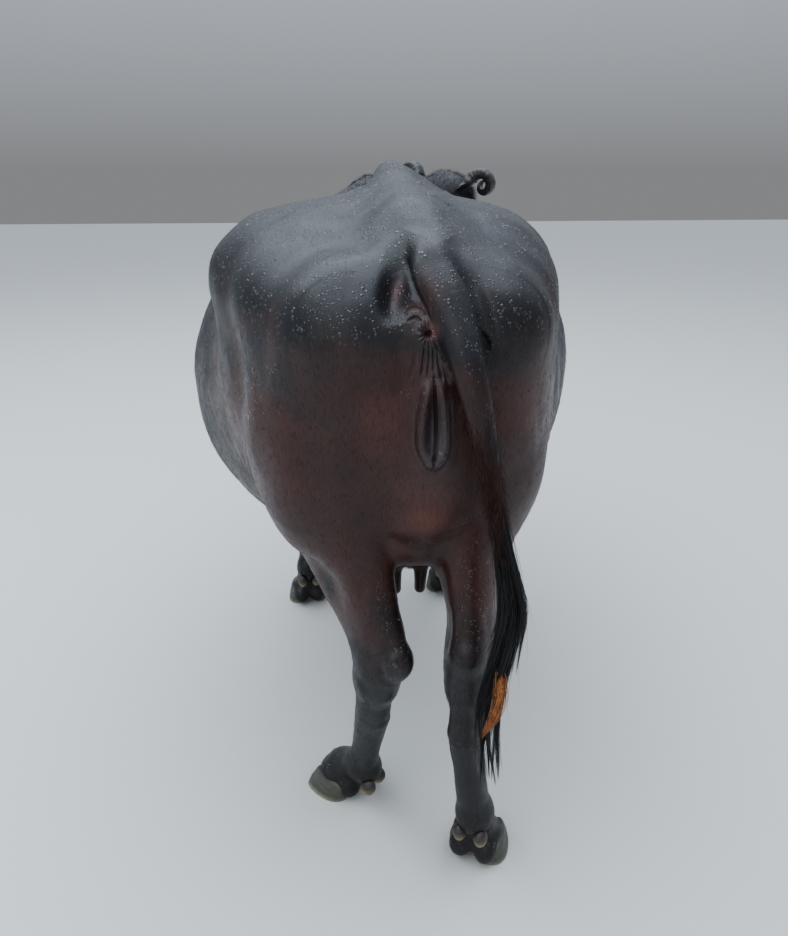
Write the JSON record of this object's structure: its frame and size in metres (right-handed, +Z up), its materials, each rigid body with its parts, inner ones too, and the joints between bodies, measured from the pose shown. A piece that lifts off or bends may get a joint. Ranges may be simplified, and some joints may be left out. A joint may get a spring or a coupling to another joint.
{
  "type": "water buffalo",
  "caption": "Standing water buffalo cow, life size, with tightly coiled horns, wide belly and hanging tail, head turned to her right, for resting on a floor.",
  "frame": {"origin": "on the floor, below the middle of the whole animal's outer box", "axes": "+Y the way the body faces, +X to her right side, +Z up"},
  "size_m": [1.0407, 2.2893, 1.3891],
  "materials": {
    "hide": "wet, near-black skin with thin short hair, reddish brown on the thighs",
    "horn": "dark grey horn, ringed, half gloss",
    "claw": "grey-green horn of the hoof, worn pale at the rim",
    "hair": "black tail hair, a few copper strands",
    "eye": "dark brown, wet and glossy"
  },
  "bodies": {
    "root": {"head": "hide", "neck": "hide", "torso": "hide", "udder": "hide", "tail_root": "hide", "tail_middle": "hide", "tail_tip": "hide", "hind_left_upper": "hide", "hind_left_lower": "hide", "hind_right_upper": "hide", "hind_right_lower": "hide", "fore_left_upper": "hide", "fore_left_lower": "hide", "fore_right_upper": "hide", "fore_right_lower": "hide", "ear_left": "hide", "ear_right": "hide", "horn_left": "horn", "horn_right": "horn", "eye_left": "eye", "eye_right": "eye", "claw_hind_left_outer": "claw", "claw_hind_left_inner": "claw", "claw_hind_right_outer": "claw", "claw_hind_right_inner": "claw", "claw_fore_left_outer": "claw", "claw_fore_left_inner": "claw", "claw_fore_right_outer": "claw", "claw_fore_right_inner": "claw", "dewclaw_hind_left_outer": "claw", "dewclaw_hind_left_inner": "claw", "dewclaw_hind_right_outer": "claw", "dewclaw_hind_right_inner": "claw", "dewclaw_fore_left_outer": "claw", "dewclaw_fore_left_inner": "claw", "dewclaw_fore_right_outer": "claw", "dewclaw_fore_right_inner": "claw", "tail_switch": "hair"}
  },
  "joints": []
}
